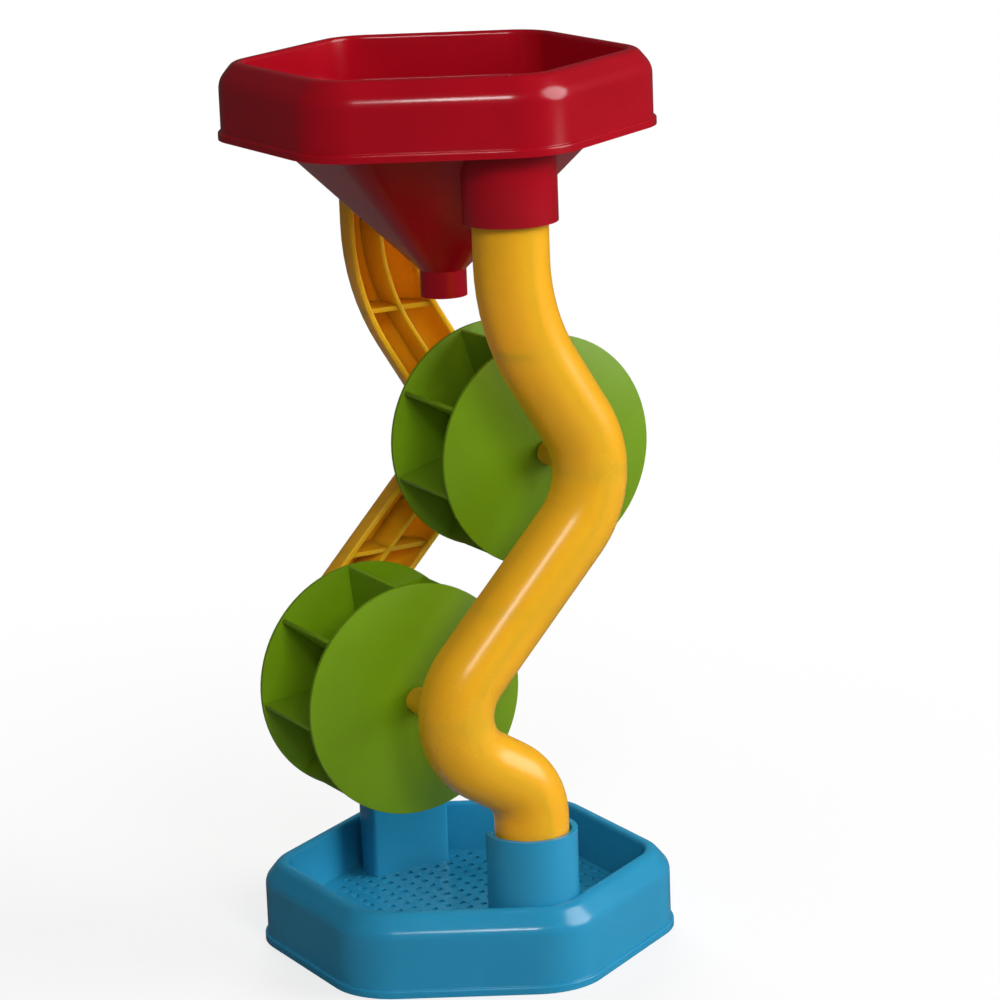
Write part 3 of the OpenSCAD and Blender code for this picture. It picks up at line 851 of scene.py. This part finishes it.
def long_rib(sizes):
    """The rib that runs down the middle of the front column."""
    bm = bmesh.new()
    deep = -sizes.column_y - sizes.column_radius + sizes.wall * (1 - RIB_BITE_SHARE)
    shallow = -sizes.column_y + sizes.column_side - sizes.rib_recess
    x = -sizes.rib / 2
    ends = [bm.verts.new((x, y, COLUMN_HIGH.z)) for y in (deep, shallow)]
    sweep(bm, [bm.edges.new(ends)], sizes)
    settle(bm)
    orient(bm, lambda centre, normal: -normal.x)
    thicken(bm, sizes.rib)
    near = shallow - sizes.rib * NEAR_SHARE
    round_off(bm, sharp_edges(bm, lambda p: p.y > near), sizes.thin_soft)
    return bm


def half_plate(sizes, radius, side, low, thickness, x=0.0, lean=1.0, middle_y=None):
    """A level plate with a half-round front, across the front column."""
    bm = bmesh.new()
    bmesh.ops.create_circle(bm, cap_ends=True, segments=PLATE_FACETS, radius=radius)
    cut_away(bm, whole(bm), (0, side, 0), (0, 1, 0))
    bmesh.ops.scale(bm, vec=(lean, 1, 1), verts=bm.verts)
    bmesh.ops.translate(bm, vec=(x, -(middle_y or sizes.column_y), low), verts=bm.verts)
    made = bmesh.ops.extrude_face_region(bm, geom=list(bm.faces))["geom"]
    bmesh.ops.translate(bm, vec=(0, 0, thickness), verts=only(bmesh.types.BMVert, made))
    return bm


def axle_boss(sizes, place):
    """A boss of the front column, bored for the axle."""
    bm = bmesh.new()
    front = -sizes.column_y - sizes.column_radius + sizes.wall * (1 - BOSS_BITE_SHARE)
    back = WHEEL_LOW.y - sizes.boss_gap
    chamfer = sizes.thin_soft
    profile = [
        (sizes.axle_bore, front), (sizes.boss_radius, front),
        (sizes.boss_radius, back - chamfer), (sizes.boss_radius - chamfer, back),
        (sizes.axle_bore + chamfer, back), (sizes.axle_bore, back - chamfer),
    ]
    spin_profile(bm, profile, BOSS_FACETS)
    bmesh.ops.translate(bm, vec=(place.x, 0, place.z), verts=bm.verts)
    return bm


class SANDTOY_OT_columns(bpy.types.Operator):
    """Build the two zigzag columns with their ribs and axle bosses"""

    bl_idname = "sandtoy.columns"
    bl_label = "Columns"

    def execute(self, context):
        sizes = context.scene.sand_toy_sizes
        for node, side in (("front_column", 1), ("rear_column", -1)):
            bm = column_shell(sizes)
            inner = sizes.column_radius - sizes.wall / 2
            shallow = sizes.column_side - sizes.cross_recess
            parts = [long_rib(sizes)]
            for height in (UPPER_AXLE.z + sizes.cross_rib, UPPER_AXLE.z - sizes.cross_rib):
                x, lean = path_at(sizes, height)
                parts.append(half_plate(sizes, inner, shallow, height - sizes.rib / 2, sizes.rib, x, lean))
            for place in (UPPER_AXLE, LOWER_AXLE):
                parts.append(half_plate(sizes, inner, shallow, place.z - sizes.rib / 2, sizes.rib, place.x))
                parts.append(axle_boss(sizes, place))
            foot = (COLUMN_LOW.z, sizes.tray_socket_y)
            head = (COLUMN_HIGH.z - sizes.wall, sizes.column_y)
            for low, middle_y in (foot, head):
                side_y = sizes.column_side + middle_y - sizes.column_y
                parts.append(half_plate(sizes, sizes.end_plate, side_y, low, sizes.wall, middle_y=middle_y))
            join_meshes(bm, parts)
            bmesh.ops.scale(bm, vec=(1, side, 1), verts=bm.verts)
            make_piece(f"{node}_moulding", bm, "frame", node, "column_yellow")
        return {"FINISHED"}


# Wheels


def disc_profile(inner, outer, low, high, soft):
    """Closed profile of a disc with softened edges: (radius, place along the axle)."""
    middle = soft * FILLET_SHARE
    return [
        (inner, low), (outer - soft, low), (outer - middle, low + middle), (outer, low + soft),
        (outer, high - soft), (outer - middle, high - middle), (outer - soft, high), (inner, high),
    ]


def put_on_axle(bm, place, turn):
    """Turns a wheel built about the Y axis and puts it on its axle."""
    bmesh.ops.rotate(bm, cent=(0, 0, 0), matrix=Matrix.Rotation(-turn, 3, "Y"), verts=bm.verts)
    bmesh.ops.translate(bm, vec=(place.x, 0, place.z), verts=bm.verts)


def paddle_wheel(sizes, radius, half, place, turn):
    """Rear disc, hub, spigot and paddles."""
    bm = bmesh.new()
    back = half - sizes.disc
    soft = sizes.thin_soft
    spin_profile(bm, disc_profile(sizes.hub_radius - soft, radius, back, half, soft))
    hub = [
        (sizes.wheel_bore, half), (sizes.hub_radius, half),
        (sizes.hub_radius, -back), (sizes.spigot_radius, -back),
        (sizes.spigot_radius, soft - half), (sizes.spigot_radius - soft, -half), (sizes.wheel_bore, -half),
    ]
    part = bmesh.new()
    spin_profile(part, hub, HUB_FACETS)
    join_meshes(bm, [part])
    start = sizes.hub_radius * PADDLE_START_SHARE
    end = radius - sizes.paddle_inset
    low, high = (sizes.disc * share + back for share in PADDLE_BITE_SHARES)
    for number in range(sizes.paddles):
        blade = bmesh.new()
        bmesh.ops.create_cube(blade, size=1)
        bmesh.ops.scale(blade, vec=(end - start, low + high, sizes.paddle), verts=blade.verts)
        bmesh.ops.translate(blade, vec=((start + end) / 2, (high - low) / 2, 0), verts=blade.verts)
        round_off(blade, [e for e in blade.edges if all(v.co.x > start + soft for v in e.verts)], soft)
        turned = Matrix.Rotation(-math.tau * number / sizes.paddles, 3, "Y")
        bmesh.ops.rotate(blade, cent=(0, 0, 0), matrix=turned, verts=blade.verts)
        join_meshes(bm, [blade])
    put_on_axle(bm, place, turn)
    return bm


class SANDTOY_OT_wheels(bpy.types.Operator):
    """Build both paddle wheels and their cover discs"""

    bl_idname = "sandtoy.wheels"
    bl_label = "Paddle wheels"

    def execute(self, context):
        sizes = context.scene.sand_toy_sizes
        radius = (WHEEL_HIGH.z - WHEEL_LOW.z) / 2
        half = (WHEEL_HIGH.y - WHEEL_LOW.y) / 2
        upper = ("upper", UPPER_AXLE, sizes.upper_turn)
        lower = ("lower", LOWER_AXLE, sizes.lower_turn)
        for level, place, turn in (upper, lower):
            body = f"{level}_wheel"
            bm = paddle_wheel(sizes, radius, half, place, turn)
            make_piece(f"{level}_wheel_moulding", bm, body, body, "wheel_green")
            bm = bmesh.new()
            bore = sizes.spigot_radius + sizes.cover_play
            profile = disc_profile(bore, radius, -half, sizes.disc - half, sizes.thin_soft)
            spin_profile(bm, profile)
            put_on_axle(bm, place, turn)
            make_piece(f"{level}_wheel_disc", bm, body, f"{level}_wheel_cover", "wheel_green")
        return {"FINISHED"}


class SANDTOY_OT_axles(bpy.types.Operator):
    """Give the axle rods their plastic"""

    bl_idname = "sandtoy.axles"
    bl_label = "Axle rods"

    def execute(self, context):
        for name in ("upper_axle", "lower_axle"):
            materials = frame["nodes"][name].data.materials
            materials.clear()
            materials.append(plastic("axle_plastic"))
        return {"FINISHED"}


# Stage

# Lamps: azimuth and elevation in degrees, diameter in metres, watts, and whether the plastics mirror them
LAMPS = {
    "key": (263, 29, 0.6, 13, False),
    "fill": (241, 16, 0.5, 2.6, False),
    "window": (325, 25, 1.4, 24, True),
    "spark": (241, 33, 0.26, 4.5, True),
    "back": (65, 10, 1.2, 42, False),
}
LAMP_DISTANCE = 1.7
LAMP_TARGET = (0, 0, 0.14)
# Light from all around, and what glossy, transmission and camera rays find instead
SURROUNDINGS = 0.11
FOUND_BY = (("Is Glossy Ray", 0.05), ("Is Transmission Ray", 1.0), ("Is Camera Ray", 1.0))
# The floor's radius, the range in which it fades to white, and how white its middle is
FLOOR_RADIUS = 0.75
FADE_RANGE = (0.12, 0.5)
FADE_LEAST = 0.72
# The floor's tone to rays that don't come from the camera, and to those that plastics mirror
FLOOR_UNSEEN = 0.35
FLOOR_MIRRORED = 0.12
# Darkest and palest factor of the floor's tone, and how much of its grain mixes them
GRAIN_TONES = (0.985, 1.015)
GRAIN_MIX = 0.5
# The camera: azimuth, elevation and roll in degrees, place in metres, lens and sensor in millimetres
CAMERA_TURN = (29.363, 13.920, -2.157)
CAMERA_PLACE = (-0.55382, -1.01446, 0.42702)
LENS = 138.01
SENSOR_WIDTH = 36
CLIP_RANGE = (0.05, 50)


def add_lamp(name, azimuth, elevation, size, watts, mirrored_too):
    """A round area lamp that points at the toy from an azimuth and an elevation in degrees."""
    azimuth, elevation = math.radians(azimuth), math.radians(elevation)
    level = Vector((math.cos(azimuth), math.sin(azimuth), 0)) * math.cos(elevation)
    arm = (level + Vector((0, 0, math.sin(elevation)))) * LAMP_DISTANCE
    data = bpy.data.lights.new(name, "AREA")
    data.shape = "DISK"
    data.size = size
    data.energy = watts
    lamp = bpy.data.objects.new(name, data)
    lamp.location = Vector(LAMP_TARGET) + arm
    lamp.rotation_euler = (-arm).to_track_quat("-Z", "Y").to_euler()
    lamp.visible_glossy = mirrored_too
    bpy.context.scene.collection.objects.link(lamp)


class SANDTOY_OT_stage(bpy.types.Operator):
    """Set up the floor, the lamps, the background and the camera"""

    bl_idname = "sandtoy.stage"
    bl_label = "Stage"

    def execute(self, context):
        self.floor(context.scene.sand_toy_colours.floor)
        self.world(context.scene)
        for name, lamp in LAMPS.items():
            add_lamp(name, *lamp)
        self.camera(context.scene)
        return {"FINISHED"}

    @staticmethod
    def floor(tone):
        """A pale round floor that fades into white; rays that don't come from the camera find it grey."""
        mesh = bpy.data.meshes.new("floor")
        bm = bmesh.new()
        bmesh.ops.create_circle(bm, cap_ends=True, segments=DISC_FACETS, radius=FLOOR_RADIUS)
        bm.to_mesh(mesh)
        bm.free()
        surface = Surface("floor_paper")
        seen = surface.node("ShaderNodeLightPath", {}, {}, "Is Camera Ray")
        mirrored_by = surface.node("ShaderNodeLightPath", {}, {}, "Is Glossy Ray")
        grain = surface.noise(*GRAIN)
        base = surface.mix(grain * GRAIN_MIX, *(shade(tone, factor) for factor in GRAIN_TONES))
        unseen = surface.mix(mirrored_by, shade(tone, FLOOR_UNSEEN), shade(tone, FLOOR_MIRRORED))
        base = surface.mix(seen, unseen, base)
        paper = surface.node("ShaderNodeBsdfPrincipled", {}, {
            "Base Color": base, "Roughness": 0.9, "Normal": surface.bump(grain, *GRAIN_BUMP)
        })
        white = surface.node("ShaderNodeEmission", {}, {"Color": (1, 1, 1, 1), "Strength": 1.0})
        distance = surface.node("ShaderNodeVectorMath", {"operation": "LENGTH"}, {0: surface.place}, 1)
        away = surface.node("ShaderNodeMapRange", {"interpolation_type": "SMOOTHSTEP"}, {
            "Value": distance, "From Min": FADE_RANGE[0], "From Max": FADE_RANGE[1], "To Min": FADE_LEAST
        })
        both = surface.node("ShaderNodeMixShader", {}, {0: away * seen, 1: paper, 2: white})
        surface.node("ShaderNodeOutputMaterial", {}, {"Surface": both})
        mesh.materials.append(surface.material)
        floor = bpy.data.objects.new("floor", mesh)
        bpy.context.scene.collection.objects.link(floor)

    @staticmethod
    def world(scene):
        """White to the camera, dim to the toy, and nearly dark where its plastic mirrors it."""
        world = bpy.data.worlds.new("studio")
        world.use_nodes = True
        tree = world.node_tree
        tree.nodes.clear()
        path = tree.nodes.new("ShaderNodeLightPath")
        strength = None
        for kind, value in FOUND_BY:
            light = tree.nodes.new("ShaderNodeMapRange")
            light.inputs["To Min"].default_value = SURROUNDINGS
            light.inputs["To Max"].default_value = value
            tree.links.new(path.outputs[kind], light.inputs["Value"])
            if strength:
                tree.links.new(strength, light.inputs["To Min"])
            strength = light.outputs["Result"]
        background = tree.nodes.new("ShaderNodeBackground")
        background.inputs["Color"].default_value = (1, 1, 1, 1)
        tree.links.new(strength, background.inputs["Strength"])
        output = tree.nodes.new("ShaderNodeOutputWorld")
        tree.links.new(background.outputs[0], output.inputs["Surface"])
        scene.world = world

    @staticmethod
    def camera(scene):
        """The photograph's angle, from the left of the toy's front, with the camera rolled a little."""
        azimuth, elevation, roll = (math.radians(turn) for turn in CAMERA_TURN)
        away = Vector((math.sin(azimuth), math.cos(azimuth), 0)) * math.cos(elevation)
        away.z = -math.sin(elevation)
        level = Vector((math.cos(azimuth), -math.sin(azimuth), 0))
        up = level.cross(away)
        right = math.cos(roll) * level + math.sin(roll) * up
        top = -math.sin(roll) * level + math.cos(roll) * up
        data = bpy.data.cameras.new("camera")
        data.sensor_width = SENSOR_WIDTH
        data.lens = LENS
        data.clip_start, data.clip_end = CLIP_RANGE
        camera = bpy.data.objects.new("camera", data)
        turn = Matrix((right, top, -away)).transposed().to_4x4()
        camera.matrix_world = Matrix.Translation(CAMERA_PLACE) @ turn
        scene.collection.objects.link(camera)
        scene.camera = camera
        scene.view_settings.view_transform = "Standard"


class SANDTOY_PT_panel(bpy.types.Panel):
    """Lists the toy's pieces and its sizes and colours"""

    bl_idname = "SANDTOY_PT_panel"
    bl_label = "Sand Wheel Toy"
    bl_space_type = "VIEW_3D"
    bl_region_type = "UI"
    bl_category = "Sand Toy"

    def draw(self, context):
        for operator in OPERATORS:
            self.layout.operator(operator.bl_idname)
        for group in (context.scene.sand_toy_sizes, context.scene.sand_toy_colours):
            for name in group.bl_rna.properties.keys():
                if name not in {"rna_type", "name"}:
                    self.layout.prop(group, name)


OPERATORS = (
    SANDTOY_OT_tray, SANDTOY_OT_hopper, SANDTOY_OT_columns, SANDTOY_OT_wheels, SANDTOY_OT_axles,
    SANDTOY_OT_stage,
)
CLASSES = (ToySizes, ToyColours, *OPERATORS, SANDTOY_PT_panel)


def register():
    """Registers the classes and the two property groups."""
    for item in CLASSES:
        bpy.utils.register_class(item)
    bpy.types.Scene.sand_toy_sizes = bpy.props.PointerProperty(type=ToySizes)
    bpy.types.Scene.sand_toy_colours = bpy.props.PointerProperty(type=ToyColours)


def unregister():
    """Takes the property groups and the classes away again."""
    del bpy.types.Scene.sand_toy_colours
    del bpy.types.Scene.sand_toy_sizes
    for item in reversed(CLASSES):
        bpy.utils.unregister_class(item)


def main():
    """Registers the classes, then builds the toy and its stage."""
    register()
    for operator in OPERATORS:
        group, name = operator.bl_idname.split(".")
        getattr(getattr(bpy.ops, group), name)()


if __name__ == "__main__":
    main()
